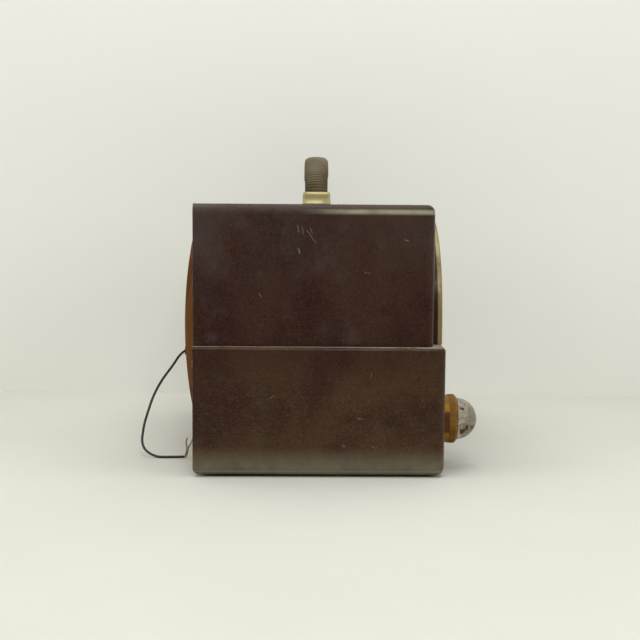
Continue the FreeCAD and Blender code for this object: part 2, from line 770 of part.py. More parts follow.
def make_cans():
    for label, (x, y) in CANS.items():
        can = box((x - 11, x + 11), (y - 11, y + 11), ("chassis_top", "chassis_top + 50"))
        node(label, rounded(can, 2, lambda m, n, b: m.z > size("chassis_top") + 1))
    can = round_bar("Z", (112, 32), ("chassis_top", "chassis_top + 56"), 14)
    node("smoothing_capacitor", rounded(can, 2, lambda m, n, b: m.z > size("chassis_top") + 55))


def make_transformer():
    deck = "chassis_top"
    core = cut(box((44, 84), (14, 36), (deck, deck + " + 36")),
               box((51, 58), (13, 37), (deck + " + 7", deck + " + 29")),
               box((70, 77), (13, 37), (deck + " + 7", deck + " + 29")))
    node("output_core", core)
    coil = cut(box((51.3, 76.7), (7, 43), (deck + " + 7.3", deck + " + 28.7")),
               box((57.7, 70.3), (13.7, 36.3), (deck + " + 7", deck + " + 29")),
               box((58, 70), (13, 37), (deck + " + 6", deck + " + 30")))
    node("output_coil", coil)


def make_mains_inlet():
    block = box((70, 110), ("chassis_back", "cover_face - 0.5"), (26, 44))
    recess = box((73.5, 106.5), ("cover_face - 9.5", "cover_face"), (29, 41))
    pins = [round_bar("Y", (x, 35), ("cover_face - 10", "cover_face - 2"), 2) for x in (80.5, 99.5)]
    node("mains_inlet", fuse(cut(block, recess), *pins))


# ---------------------------------------------------------------- tuning capacitor and dial drive

def half_vane(y, inner_side, radius):
    """A half-round vane between two y planes on one side of the pivot axis."""
    disc = round_bar("Y", ("0", "pivot_height"), y, radius)
    sides = {
        "down": box((-40, 40), y, ("pivot_height - 40", "pivot_height")),
        "left": box((-40, -4), y, ("pivot_height - 40", "pivot_height + 40")),
    }
    return common(disc, sides[inner_side])


def make_tuning_capacitor():
    at = ("0", "pivot_height")
    ends = [
        box((-29, 27), (0, 1.5), ("chassis_top", "pivot_height + 28")),
        box((-29, 27), (46, 47.5), ("chassis_top", "pivot_height + 28")),
    ]
    base = box((-29, 27), (0, 47.5), ("chassis_top", "chassis_top + 1.5"))
    bore = round_bar("Y", at, (-1, 49), "shaft_radius + running_gap")
    node("capacitor_frame", cut(fuse(base, *ends), bore))
    rods = []
    fixed = []
    moving = []
    for z in ("pivot_height - 12", "pivot_height + 12"):
        rods.append(round_bar("Y", ("-26", z), (1.5, 46), 1.5))
    for number in range(9):
        start = "%s + %d * vane_pitch" % (6, number)
        y = (start, start + " + vane_thick")
        vane = half_vane(y, "left", "vane_radius")
        lug = box((-27, -16), y, ("pivot_height - 14", "pivot_height + 14"))
        fixed.append(fuse(vane, lug))
    node("stator_vanes", fuse(*rods, *fixed))
    for number in range(8):
        start = "%s + %d * vane_pitch + vane_pitch / 2" % (6, number)
        vane = half_vane((start, start + " + vane_thick"), "down", "vane_radius - 1")
        collar = round_bar("Y", at, (start, start + " + vane_thick"), 5)
        moving.append(cut(fuse(vane, collar), round_bar("Y", at, (0, 50), "shaft_radius")))
    node("rotor_vanes", group(*moving))
    node("rotor_shaft", round_bar("Y", at, ("baffle_front - 7", 49), "shaft_radius"))


def make_dial_drum():
    at = ("0", "pivot_height")
    flange_radius = "drum_cord_radius + 1.6"
    drum = fuse(round_bar("Y", at, ("drive_plane - 2.6", "drive_plane - 1"), flange_radius),
                round_bar("Y", at, ("drive_plane - 1", "drive_plane + 1"), "drum_cord_radius - 0.75"),
                round_bar("Y", at, ("drive_plane + 1", "drive_plane + 2.6"), flange_radius),
                round_bar("Y", at, ("drive_plane - 2.6", "drive_plane + 7"), 7))
    node("dial_drum", cut(drum, round_bar("Y", at, (-20, 10), "shaft_radius")))


def make_pointer():
    y = ("baffle_front - 6", "baffle_front - 5.2")
    at = ("0", "pivot_height")
    disc = round_bar("Y", at, y, 4.2)
    hand = box((-0.9, 0.9), y, ("pivot_height", "pivot_height + grille_radius + 13"))
    tail = box((-1.6, 1.6), y, ("pivot_height", "pivot_height + 26"))
    boss = round_bar("Y", at, ("baffle_front - 7.5", "baffle_front - 2"), 4.2)
    bore = round_bar("Y", at, ("baffle_front - 8", "baffle_front"), "shaft_radius")
    node("dial_pointer", cut(fuse(disc, hand, tail, boss), bore))


def make_drive_cord():
    """The open belt: two arcs joined by their outer tangents."""
    y = size("drive_plane")
    big = FreeCAD.Vector(0, y, size("pivot_height"))
    small = FreeCAD.Vector(size("knob_spacing"), y, size("knob_height"))
    big_radius, small_radius = size("drum_cord_radius"), size("spindle_cord_radius")
    run = small - big
    heading = math.atan2(run.z, run.x)
    swing = math.acos((big_radius - small_radius) / run.Length)

    def rim(centre, radius, angle):
        return FreeCAD.Vector(centre.x + radius * math.cos(angle), y, centre.z + radius * math.sin(angle))

    start, behind, end = [rim(big, big_radius, heading + turn) for turn in (swing, math.pi, -swing)]
    near, tip, far = [rim(small, small_radius, heading + turn) for turn in (swing, 0, -swing)]
    edges = [
        Part.LineSegment(start, near).toShape(),
        Part.Arc(near, tip, far).toShape(),
        Part.LineSegment(far, end).toShape(),
        Part.Arc(end, behind, start).toShape(),
    ]
    path = Part.Wire(edges)
    along = near - start
    section = Part.Wire([Part.Circle(start, along, size("drive_cord_radius")).toShape()])
    node("drive_cord", solid("drive_cord", path.makePipeShell([section], True, False)))


# ---------------------------------------------------------------- aerial lead

def bent_path(points):
    """Straight runs joined by tangent arcs, and the radius of each arc."""
    corners = [FreeCAD.Vector(*p) for p in points]
    edges = []
    radii = []
    last = corners[0]
    for before, corner, after in zip(corners, corners[1:], corners[2:]):
        to_before = before - corner
        to_after = after - corner
        reach = BEND_SHARE * min(to_before.Length, to_after.Length)
        to_before.normalize()
        to_after.normalize()
        half_turn = (math.pi - to_before.getAngle(to_after)) / 2
        radius = reach / math.tan(half_turn)
        radii.append(radius)
        start = corner + to_before * reach
        end = corner + to_after * reach
        inwards = to_before + to_after
        inwards.normalize()
        middle = corner + inwards * (radius / math.cos(half_turn) - radius)
        edges.append(Part.LineSegment(last, start).toShape())
        edges.append(Part.Arc(start, middle, end).toShape())
        last = end
    edges.append(Part.LineSegment(last, corners[-1]).toShape())
    return Part.Wire(edges), radii


def make_aerial_lead():
    path, radii = bent_path(LEAD_ROUTE)
    start = FreeCAD.Vector(*LEAD_ROUTE[0])
    along = FreeCAD.Vector(*LEAD_ROUTE[1]) - start
    section = Part.Wire([Part.Circle(start, along, size("lead_radius")).toShape()])
    tube = path.makePipeShell([section], True, False)
    expected = math.pi * size("lead_radius") ** 2 * path.Length
    print("lead length %.1f mm, radii %s" % (path.Length, [round(r, 1) for r in radii]))
    print("lead volume %.1f, section x length %.1f" % (tube.Volume, expected))
    node("aerial_lead", solid("aerial_lead", tube))
    strands = []
    for route in STRAND_ROUTES:
        path = bent_path(route)[0]
        start = FreeCAD.Vector(*route[0])
        along = FreeCAD.Vector(*route[1]) - start
        section = Part.Wire([Part.Circle(start, along, size("strand_radius")).toShape()])
        strands.append(solid("strand", path.makePipeShell([section], True, False)))
    node("lead_strands", group(*strands))


make_lower_cabinet()
make_upper_cabinet()
make_cabinet_screws()
make_feet()
make_rear_cover()
make_cover_screws()
make_grommet()
make_loop_aerial()
make_dial()
make_baffle()
make_speaker()
make_lamp()
make_handle()
make_knob("volume", "-")
make_knob("tuning", "")
make_volume_control()
make_tuning_spindle()
make_chassis()
make_valves()
make_cans()
make_transformer()
make_mains_inlet()
make_tuning_capacitor()
make_dial_drum()
make_pointer()
make_drive_cord()
make_aerial_lead()
doc.recompute()

for obj in doc.Objects:
    if "Invalid" in obj.State or "Error" in obj.State:
        raise RuntimeError("%s (%s) did not build: %s" % (obj.Name, obj.Label, obj.State))
os.makedirs("parts", exist_ok=True)
for obj in nodes:
    shape = obj.Shape
    if shape.isNull() or not shape.isValid() or not shape.Solids:
        raise RuntimeError("%s has no valid solid" % obj.Label)
    shape.exportStep("parts/%s.step" % obj.Label)
print("%d nodes" % len(nodes))
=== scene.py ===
import math

import bpy
from mathutils import Matrix, Vector


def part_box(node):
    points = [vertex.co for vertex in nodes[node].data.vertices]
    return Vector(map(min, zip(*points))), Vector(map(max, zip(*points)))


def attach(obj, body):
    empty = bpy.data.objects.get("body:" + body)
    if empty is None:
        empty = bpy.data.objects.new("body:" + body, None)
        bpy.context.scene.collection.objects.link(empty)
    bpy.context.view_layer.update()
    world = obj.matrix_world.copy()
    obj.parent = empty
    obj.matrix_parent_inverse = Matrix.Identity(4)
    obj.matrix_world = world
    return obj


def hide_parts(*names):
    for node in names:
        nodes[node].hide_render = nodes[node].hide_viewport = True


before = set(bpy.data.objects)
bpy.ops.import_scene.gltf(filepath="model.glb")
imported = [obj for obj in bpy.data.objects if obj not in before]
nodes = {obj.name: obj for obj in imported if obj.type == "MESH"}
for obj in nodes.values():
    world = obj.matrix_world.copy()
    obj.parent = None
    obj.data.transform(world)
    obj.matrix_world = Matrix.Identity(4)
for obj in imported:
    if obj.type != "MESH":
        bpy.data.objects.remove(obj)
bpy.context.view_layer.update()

# Metres, in the same frame as the CAD part: X right seen from the front, Y back, Z up.
CAMERA_AT = Vector((-1.18065, 0.02442, 0.24058))
CAMERA_YAW = math.radians(0.9)
CAMERA_PITCH = math.radians(5.631)
CAMERA_ROLL = math.radians(0.42)
CAMERA_LENS = 65.8

# Heights and planes that several materials and pieces share
SEAM_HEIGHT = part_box("lower_cabinet")[1][2]
CASE_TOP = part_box("upper_cabinet")[1][2]
CASE_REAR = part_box("lower_cabinet")[1][1]
UPPER_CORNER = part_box("upper_cabinet")[0][1] + 0.006

# ---------------------------------------------------------------- node graph helpers


class Graph:
    """A material's node tree with short calls for the nodes used here."""

    def __init__(self, name):
        self.material = bpy.data.materials.new(name)
        self.material.use_nodes = True
        self.tree = self.material.node_tree
        self.tree.nodes.clear()
        self.out = self.tree.nodes.new("ShaderNodeOutputMaterial")
        self.shader = self.tree.nodes.new("ShaderNodeBsdfPrincipled")
        self.link(self.shader.outputs[0], self.out.inputs["Surface"])
        self.place = self.tree.nodes.new("ShaderNodeTexCoord").outputs["Object"]

    def link(self, source, target):
        self.tree.links.new(source, target)

    def feed(self, socket, value):
        """A socket takes either another node's output or a constant."""
        if isinstance(value, bpy.types.NodeSocket):
            self.link(value, socket)
        elif hasattr(value, "__len__") and len(value) == 3 and socket.type == "RGBA":
            socket.default_value = (*value, 1)
        else:
            socket.default_value = value

    def set(self, **values):
        """Inputs of the principled shader, by name with _ for a space."""
        for name, value in values.items():
            self.feed(self.shader.inputs[name.replace("_", " ")], value)
        return self

    def scaled(self, x, y, z):
        mapping = self.tree.nodes.new("ShaderNodeMapping")
        self.link(self.place, mapping.inputs["Vector"])
        mapping.inputs["Scale"].default_value = (x, y, z)
        return mapping.outputs[0]

    def noise(self, scale, detail=3, rough=0.55, vector=None):
        node = self.tree.nodes.new("ShaderNodeTexNoise")
        self.link(vector or self.place, node.inputs["Vector"])
        node.inputs["Scale"].default_value = scale
        node.inputs["Detail"].default_value = detail
        node.inputs["Roughness"].default_value = rough
        return node.outputs["Fac"]

    def cell_edges(self, scale):
        node = self.tree.nodes.new("ShaderNodeTexVoronoi")
        node.feature = "DISTANCE_TO_EDGE"
        self.link(self.place, node.inputs["Vector"])
        node.inputs["Scale"].default_value = scale
        return node.outputs["Distance"]

    def wave(self, scale, axis):
        node = self.tree.nodes.new("ShaderNodeTexWave")
        node.bands_direction = axis
        self.link(self.place, node.inputs["Vector"])
        node.inputs["Scale"].default_value = scale
        return node.outputs["Fac"]

    def ramp(self, value, low, high, start=0.0, end=1.0):
        """Maps low..high to start..end, clamped."""
        node = self.tree.nodes.new("ShaderNodeMapRange")
        node.interpolation_type = "SMOOTHSTEP"
        for socket, number in zip(node.inputs[1:5], (low, high, start, end)):
            socket.default_value = number
        self.feed(node.inputs[0], value)
        return node.outputs[0]

    def mix(self, amount, first, second):
        node = self.tree.nodes.new("ShaderNodeMix")
        node.data_type = "RGBA"
        self.feed(node.inputs[0], amount)
        self.feed(node.inputs[6], first)
        self.feed(node.inputs[7], second)
        return node.outputs[2]

    def math(self, kind, first, second=0.0):
        node = self.tree.nodes.new("ShaderNodeMath")
        node.operation = kind
        self.feed(node.inputs[0], first)
        self.feed(node.inputs[1], second)
        return node.outputs[0]

    def split(self, vector=None):
        node = self.tree.nodes.new("ShaderNodeSeparateXYZ")
        self.link(vector or self.place, node.inputs[0])
        return node.outputs

    def facing_up(self):
        normal = self.tree.nodes.new("ShaderNodeNewGeometry").outputs["Normal"]
        return self.split(normal)[2]

    def facing_side(self):
        normal = self.tree.nodes.new("ShaderNodeNewGeometry").outputs["Normal"]
        return self.math("ABSOLUTE", self.split(normal)[0])

    def rim_light(self, blend):
        """0 where the surface faces the eye, 1 at its outline."""
        node = self.tree.nodes.new("ShaderNodeLayerWeight")
        node.inputs["Blend"].default_value = blend
        return node.outputs["Facing"]

    def edges(self, radius):
        """1 on sharp edges, 0 on flat and gently rounded faces."""
        bevel = self.tree.nodes.new("ShaderNodeBevel")
        bevel.samples = 4
        bevel.inputs["Radius"].default_value = radius
        flat = self.tree.nodes.new("ShaderNodeNewGeometry").outputs["Normal"]
        dot = self.tree.nodes.new("ShaderNodeVectorMath")
        dot.operation = "DOT_PRODUCT"
        self.link(bevel.outputs[0], dot.inputs[0])
        self.link(flat, dot.inputs[1])
        return self.ramp(dot.outputs["Value"], 0.98, 0.85, 0.0, 1.0)

    def turned(self, degrees, x, y, z):
        """Object coordinates turned about X, then stretched."""
        mapping = self.tree.nodes.new("ShaderNodeMapping")
        self.link(self.place, mapping.inputs["Vector"])
        mapping.inputs["Rotation"].default_value = (math.radians(degrees), 0, 0)
        mapping.inputs["Scale"].default_value = (x, y, z)
        return mapping.outputs[0]

    def band(self, value, low, high, soft):
        """1 between low and high, fading over soft."""
        rise = self.ramp(value, low - soft, low)
        fall = self.ramp(value, high + soft, high)
        return self.math("MULTIPLY", rise, fall)

    def stroke(self, start, end, width):
        """A scratch on the left side between two (y, z) places."""
        place = self.split()
        run = Vector(end) - Vector(start)
        length = run.length
        run.normalize()
        along_y = self.math("MULTIPLY", self.math("SUBTRACT", place[1], start[0]), run[0])
        along_z = self.math("MULTIPLY", self.math("SUBTRACT", place[2], start[1]), run[1])
        across_y = self.math("MULTIPLY", self.math("SUBTRACT", place[1], start[0]), -run[1])
        across_z = self.math("MULTIPLY", self.math("SUBTRACT", place[2], start[1]), run[0])
        along = self.math("ADD", along_y, along_z)
        across = self.math("ABSOLUTE", self.math("ADD", across_y, across_z))
        inside = self.band(along, 0, length, width)
        thin = self.ramp(across, width, width * 0.3)
        left = self.ramp(place[0], -0.149, -0.151)
        return self.math("MULTIPLY", self.math("MULTIPLY", inside, thin), left)

    def bump(self, height, depth, strength=1.0):
        node = self.tree.nodes.new("ShaderNodeBump")
        node.inputs["Distance"].default_value = depth
        node.inputs["Strength"].default_value = strength
        self.link(height, node.inputs["Height"])
        self.link(node.outputs[0], self.shader.inputs["Normal"])
        return self


def paint(material, *names):
    for name in names:
        nodes[name].data.materials.clear()
        nodes[name].data.materials.append(material)


# ---------------------------------------------------------------- materials

# Specks and pits in the moulding, as shares of its warm and deep colours
PALE_SPECK = 2.8
DARK_PIT = 0.15


def moulding_grain(g, deep, warm, haze, craze):
    """Cloudy red-brown with pale and dark specks, under a fine net of crazing."""
    cloud = g.ramp(g.noise(13, 5, 0.6), 0.4, 0.6)
    colour = g.mix(cloud, deep, warm)
    blotch = g.ramp(g.noise(40, 5, 0.65), 0.5, 0.78, 0.0, 0.5)
    colour = g.mix(blotch, colour, haze)
    specks = g.ramp(g.noise(560, 3, 0.65, g.scaled(1, 1, 1.7)), 0.5, 0.66, 0.0, 0.34)
    colour = g.mix(specks, colour, tuple(PALE_SPECK * c for c in warm))
    pits = g.ramp(g.noise(420, 3, 0.6), 0.56, 0.7, 0.0, 0.55)
    colour = g.mix(pits, colour, tuple(DARK_PIT * c for c in deep))
    return g.mix(craze, colour, haze)


def milky_haze(g, colour, haze):
    """A patchy bloom that grows towards the top and the upper rear corner."""
    y, z = g.split()[1:]
    height = g.ramp(z, SEAM_HEIGHT + 0.02, CASE_TOP, 0.0, 0.4)
    rear_top = g.math("MULTIPLY", g.ramp(y, CASE_REAR - 0.055, CASE_REAR), g.ramp(z, 0.13, CASE_TOP))
    patchy = g.ramp(g.noise(19, 5, 0.7), 0.3, 0.62, 0.35, 1.0)
    milky = g.math("MULTIPLY", g.math("MAXIMUM", height, rear_top), patchy)
    return g.mix(g.math("MULTIPLY", milky, 0.7), colour, haze)


def painted_light_bands(g, colour, deep):
    """Painted highlights below the top edge, down the front corner and on the rounded bottom edge, a painted
    reflection of the floor along the foot, and painted shade below the ledge.
    """
    y, z = g.split()[1:]
    flat_side = g.ramp(g.math("ABSOLUTE", g.facing_up()), 0.75, 0.3)
    # Painted highlight: a pale band just below the rounded top edge, stronger towards the front, where the
    # light catches the edge.
    brow_highlight = g.band(z, CASE_TOP - 0.0068, CASE_TOP - 0.0062, 0.003)
    brow_highlight = g.math("MULTIPLY", g.math("MULTIPLY", brow_highlight, flat_side), g.ramp(y, 0.03, -0.03, 0.05, 0.9))
    brow_highlight = g.math("MULTIPLY", brow_highlight, g.ramp(g.noise(60, 3), 0.2, 0.6, 0.6, 1.0))
    colour = g.mix(brow_highlight, colour, (0.34, 0.32, 0.22))
    # Painted highlight: a pale stripe down the front corner of the upper moulding's side, where the light
    # catches it.
    corner = g.band(y, UPPER_CORNER - 0.001, UPPER_CORNER + 0.0004, 0.0012)
    corner = g.math("MULTIPLY", corner, g.ramp(z, 0.15, 0.2, 0.1, 0.75))
    corner = g.math("MULTIPLY", corner, g.ramp(z, SEAM_HEIGHT, SEAM_HEIGHT + 0.004))
    corner = g.math("MULTIPLY", corner, g.ramp(g.facing_side(), 0.6, 0.85))
    colour = g.mix(corner, colour, (0.2, 0.18, 0.14))
    # Painted reflection: the side grows paler near the foot, standing in for the floor reflected in it.
    foot = g.math("MULTIPLY", g.ramp(z, 0.03, 0.006), g.ramp(g.noise(45, 4, 0.65), 0.25, 0.6, 0.55, 1.0))
    colour = g.mix(g.math("MULTIPLY", foot, 0.8), colour, (0.17, 0.155, 0.105))
    # Painted highlight: a pale line along the rounded bottom edge of the side.
    bottom_edge_highlight = g.math("MULTIPLY", g.band(z, 0.0042, 0.0058, 0.0012), flat_side)
    colour = g.mix(g.math("MULTIPLY", bottom_edge_highlight, 0.75), colour, (0.24, 0.23, 0.17))
    shade = g.math("MULTIPLY", g.ramp(z, SEAM_HEIGHT - 0.055, SEAM_HEIGHT - 0.004, 0.0, 0.5), flat_side)
    below = g.math("MULTIPLY", shade, g.ramp(z, SEAM_HEIGHT + 0.004, SEAM_HEIGHT))
    return g.mix(below, colour, deep)


def scratches(g, colour, wear_marks):
    """Hairlines everywhere, worn sharp edges, and the single marks on the left side."""
    hair = g.ramp(g.noise(30, 3, 0.5, g.turned(25, 1, 46, 3)), 0.69, 0.73, 0.0, 0.28)
    colour = g.mix(hair, colour, (0.14, 0.12, 0.1))
    edge = g.math("MULTIPLY", g.edges(0.0009), g.ramp(g.noise(90, 4), 0.35, 0.6, 0.25, 0.8))
    colour = g.mix(edge, colour, (0.19, 0.16, 0.12))
    for start, end, width in wear_marks:
        mark = g.math("MULTIPLY", g.stroke(start, end, width), g.ramp(g.noise(500, 2), 0.3, 0.6, 0.2, 0.6))
        colour = g.mix(mark, colour, (0.24, 0.2, 0.16))
    return colour


def ledge_dust(g):
    """1 where dust lies: on the ledge between the mouldings, not on the upper one's top."""
    y, z = g.split()[1:]
    reach = g.ramp(y, 0.0, -0.06, 0.95, 0.86)
    top = g.math("SUBTRACT", g.facing_up(), reach)
    low = g.ramp(z, SEAM_HEIGHT + 0.001, SEAM_HEIGHT)
    dusty = g.math("MULTIPLY", g.ramp(top, 0.0, 0.06), low)
    return g.math("MULTIPLY", dusty, g.ramp(g.noise(160, 3), 0.25, 0.5))


def moulded(name, deep, warm, haze, wear_marks):
    """Worn phenolic: grain, bloom, bands of painted highlight, reflection and shade, scratches and dust, one
    over the other.
    """
    g = Graph(name)
    craze = g.ramp(g.cell_edges(330), 0.0, 0.09, 0.16, 0.0)
    colour = moulding_grain(g, deep, warm, haze, craze)
    colour = milky_haze(g, colour, haze)
    colour = painted_light_bands(g, colour, deep)
    colour = scratches(g, colour, wear_marks)
    dusty = ledge_dust(g)
    colour = g.mix(g.math("MULTIPLY", dusty, 0.7), colour, (0.36, 0.32, 0.24))
    rough = g.ramp(g.noise(38, 5, 0.7), 0.3, 0.75, 0.26, 0.44)
    rough = g.math("MAXIMUM", rough, g.math("MULTIPLY", dusty, 0.9))
    g.set(Base_Color=colour, Roughness=rough, IOR=1.5, Specular_IOR_Level=0.16)
    texture = g.math("ADD", g.noise(300, 4), g.math("MULTIPLY", craze, 2.0))
    return g.bump(texture, 0.00014, 0.4).material


def pressed_board():
    """Orange-brown fibre board: upright matted strands, darker seams and a furry nap."""
    g = Graph("pressed_board")
    strands = g.noise(20, 5, 0.7, g.scaled(18, 14, 1.6))
    seams = g.ramp(g.noise(14, 3, 0.6, g.scaled(22, 16, 1.2)), 0.56, 0.7)
    colour = g.mix(g.ramp(strands, 0.35, 0.68), (0.085, 0.027, 0.002), (0.155, 0.051, 0.003))
    colour = g.mix(g.math("MULTIPLY", seams, 0.35), colour, (0.05, 0.022, 0.008))
    fleck = g.ramp(g.noise(900, 2), 0.6, 0.75, 0.0, 0.5)
    colour = g.mix(fleck, colour, (0.3, 0.13, 0.022))
    colour = g.mix(g.math("MULTIPLY", g.edges(0.001), 0.7), colour, (0.05, 0.028, 0.016))
    g.set(Base_Color=colour, Roughness=0.85, Specular_IOR_Level=0.08)
    return g.bump(g.math("ADD", strands, g.noise(700, 3)), 0.0009, 0.8).material


def aged_gilt(name, bright, dull, sheen=0.6):
    """Gold-coloured metal gone dull, with brown tarnish in soft patches."""
    g = Graph(name)
    tarnish = g.ramp(g.noise(60, 5, 0.65), 0.4, 0.7)
    fine = g.ramp(g.noise(700, 3), 0.5, 0.75, 0.0, 0.35)
    colour = g.mix(fine, g.mix(tarnish, bright, dull), dull)
    g.set(
        Base_Color=colour,
        Metallic=sheen,
        Roughness=g.ramp(tarnish, 0, 1, 0.38, 0.6),
    )
    return g.bump(g.noise(500, 2), 0.00006, 0.3).material


def clear_plastic(name, tint, milk, rough, clear):
    """Scuffed clear plastic: part of the light goes through, part is scattered."""
    g = Graph(name)
    scuff = g.ramp(g.noise(260, 4, 0.7), 0.45, 0.75)
    g.set(
        Base_Color=g.mix(scuff, tint, milk),
        Roughness=g.ramp(scuff, 0, 1, rough, rough + 0.25),
        Transmission_Weight=clear,
        IOR=1.49,
    )
    return g.bump(g.noise(180, 3), 0.00008, 0.4).material


def cast_plastic(name, base, deep, rough, glow=0.0):
    """Coloured see-into plastic with soft streaks."""
    g = Graph(name)
    streak = g.ramp(g.noise(70, 4, 0.6, g.scaled(1, 0.4, 1)), 0.3, 0.7)
    g.set(Base_Color=g.mix(streak, base, deep), Roughness=rough, IOR=1.5, Transmission_Weight=glow)
    return g.bump(g.noise(400, 2), 0.00006, 0.4).material


# Length of the plain sleeve behind the toothed band
SLEEVE_DEPTH = 0.0067


def knob_amber():
    """The toothed skirt: amber, with painted light shining through the sleeve above and below a dark middle,
    brown in front.
    """
    g = Graph("knob_amber")
    low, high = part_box("volume_skirt")
    middle = (low[2] + high[2]) / 2
    y, z = g.split()[1:]
    thin = g.ramp(y, high[1] - SLEEVE_DEPTH, high[1] - SLEEVE_DEPTH + 0.0006)
    off_centre = g.math("ABSOLUTE", g.math("SUBTRACT", z, middle))
    away = g.ramp(off_centre, 0.0085, 0.0115)
    patch = g.math("MULTIPLY", away, g.ramp(off_centre, 0.0175, 0.0145, 0.15, 1.0))
    glow = g.math("MULTIPLY", thin, patch)
    core = g.math("MULTIPLY", thin, g.math("SUBTRACT", 1.0, away))
    front = g.ramp(y, low[1] + 0.0022, low[1] + 0.0004)
    streak = g.ramp(g.noise(110, 4, 0.6, g.scaled(1, 0.3, 1)), 0.3, 0.7)
    colour = g.mix(streak, (0.26, 0.125, 0.014), (0.165, 0.075, 0.009))
    colour = g.mix(core, colour, (0.1, 0.042, 0.004))
    # Painted light: bright yellow on the sleeve above and below the middle, standing in for light shining
    # through the thin plastic.
    colour = g.mix(glow, colour, (0.36, 0.17, 0.008))
    colour = g.mix(g.math("MULTIPLY", front, 0.75), colour, (0.05, 0.026, 0.01))
    g.set(Base_Color=colour, Roughness=0.4, IOR=1.5, Specular_IOR_Level=0.15)
    return g.bump(g.noise(400, 2), 0.00006, 0.4).material


def knob_dome():
    """Clear dome, ribbed inside near its foot, with brown stains under the surface and painted shade along
    its outline.
    """
    g = Graph("knob_dome")
    low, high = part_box("volume_dome")
    y = g.split()[1]
    stain = g.ramp(g.noise(110, 3, 0.55), 0.59, 0.65)
    speck = g.ramp(g.noise(420, 2, 0.5), 0.66, 0.72)
    outline = g.ramp(g.rim_light(0.4), 0.4, 0.9)
    ribs = g.math("MULTIPLY", g.wave(260, "Y"), g.ramp(y, low[1] + 0.009, high[1] - 0.004))
    clear = (0.6, 0.56, 0.44)
    colour = g.mix(g.math("MULTIPLY", ribs, 0.5), clear, (0.42, 0.38, 0.28))
    # Painted shade: darker and less clear where the dome turns away from the eye, at its outline.
    colour = g.mix(outline, colour, (0.2, 0.14, 0.08))
    colour = g.mix(g.math("MAXIMUM", stain, speck), colour, (0.07, 0.035, 0.014))
    solid = g.math("MAXIMUM", g.math("MAXIMUM", stain, speck), g.math("MULTIPLY", outline, 0.6))
    g.set(Base_Color=colour, Roughness=0.16, IOR=1.3)
    g.set(Transmission_Weight=g.ramp(solid, 0.0, 1.0, 0.7, 0.0))
    return g.bump(g.math("ADD", g.noise(200, 3), ribs), 0.0002, 0.4).material


def vinyl_grip():
    """Taupe flexible vinyl, rubbed paler on top, with grime, and painted shade in the creases between the
    ribs.
    """
    g = Graph("grip_vinyl")
    worn = g.ramp(g.noise(70, 4, 0.6), 0.35, 0.7)
    colour = g.mix(worn, (0.082, 0.061, 0.028), (0.112, 0.089, 0.045))
    streak = g.ramp(g.noise(30, 3, 0.6, g.scaled(12, 12, 1)), 0.5, 0.75, 0.0, 0.4)
    colour = g.mix(streak, colour, (0.07, 0.048, 0.028))
    grime = g.ramp(g.noise(240, 3), 0.55, 0.8, 0.0, 0.45)
    colour = g.mix(grime, colour, (0.05, 0.036, 0.022))
    # Painted shade: darker on the creases and edges between the ribs, where shade falls.
    colour = g.mix(g.ramp(g.edges(0.0008), 0.0, 1.0, 0.0, 0.5), colour, (0.07, 0.05, 0.03))
    g.set(Base_Color=colour, Roughness=0.46, Specular_IOR_Level=0.22)
    return g.bump(g.noise(900, 2), 0.00008, 0.5).material


def bare_metal(name, bright, dull, rough):
    g = Graph(name)
    patch = g.ramp(g.noise(90, 4, 0.6), 0.35, 0.7)
    g.set(Base_Color=g.mix(patch, bright, dull), Metallic=0.9)
    g.set(Roughness=g.ramp(patch, 0, 1, rough, rough + 0.2))
    return g.bump(g.noise(600, 2), 0.00004, 0.3).material


def matt(name, first, second, scale, rough=0.8, depth=0.0002):
    g = Graph(name)
    grain = g.noise(scale, 4, 0.6)
    g.set(Base_Color=g.mix(g.ramp(grain, 0.35, 0.65), first, second), Roughness=rough)
    return g.bump(grain, depth, 0.5).material


def woven_cloth():
    """Brown and gold speaker cloth in a plain weave with a slub thread here and there."""
    g = Graph("woven_cloth")
    across = g.wave(160, "X")
    up = g.wave(160, "Z")
    weave = g.math("MULTIPLY", across, up)
    slub = g.ramp(g.noise(9, 2, 0.5, g.scaled(90, 1, 1.5)), 0.6, 0.66)
    colour = g.mix(g.ramp(weave, 0.1, 0.6), (0.05, 0.028, 0.012), (0.26, 0.17, 0.07))
    colour = g.mix(g.math("MULTIPLY", slub, 0.7), colour, (0.5, 0.38, 0.16))
    g.set(Base_Color=colour, Roughness=0.8)
    return g.bump(weave, 0.0004, 0.8).material


def valve_glass():
    g = Graph("valve_glass")
    height = g.split()[2]
    silver = g.ramp(height, 0.099, 0.106)
    g.set(
        Base_Color=g.mix(silver, (0.75, 0.78, 0.76), (0.32, 0.32, 0.33)),
        Metallic=silver,
        Roughness=g.ramp(g.noise(80), 0.3, 0.7, 0.04, 0.12),
        Transmission_Weight=g.math("SUBTRACT", 1.0, silver),
    )
    return g.material


# Scratches on the left side: start and end (y, z), and width
UPPER_MARKS = [
    ((0.0285, 0.2225), (0.0275, 0.2165), 0.0006),
    ((0.0245, 0.2215), (0.0235, 0.2155), 0.0005),
    ((0.0205, 0.2185), (0.0125, 0.2075), 0.0005),
    ((0.0175, 0.2205), (0.0155, 0.2155), 0.0004),
    ((0.0275, 0.2025), (0.0265, 0.1985), 0.0009),
    ((-0.0655, 0.2105), (-0.0685, 0.2095), 0.0007),
    ((0.062, 0.163), (0.060, 0.1595), 0.0005),
    ((-0.03, 0.182), (-0.0345, 0.181), 0.0004),
]
LOWER_MARKS = [
    ((-0.0255, 0.0535), (-0.0295, 0.0525), 0.0006),
    ((-0.0125, 0.0295), (-0.0145, 0.0285), 0.0008),
    ((-0.0385, 0.0285), (-0.0405, 0.0275), 0.0006),
    ((-0.0365, 0.09), (-0.0375, 0.0945), 0.0004),
    ((0.052, 0.071), (0.0485, 0.0735), 0.0004),
]


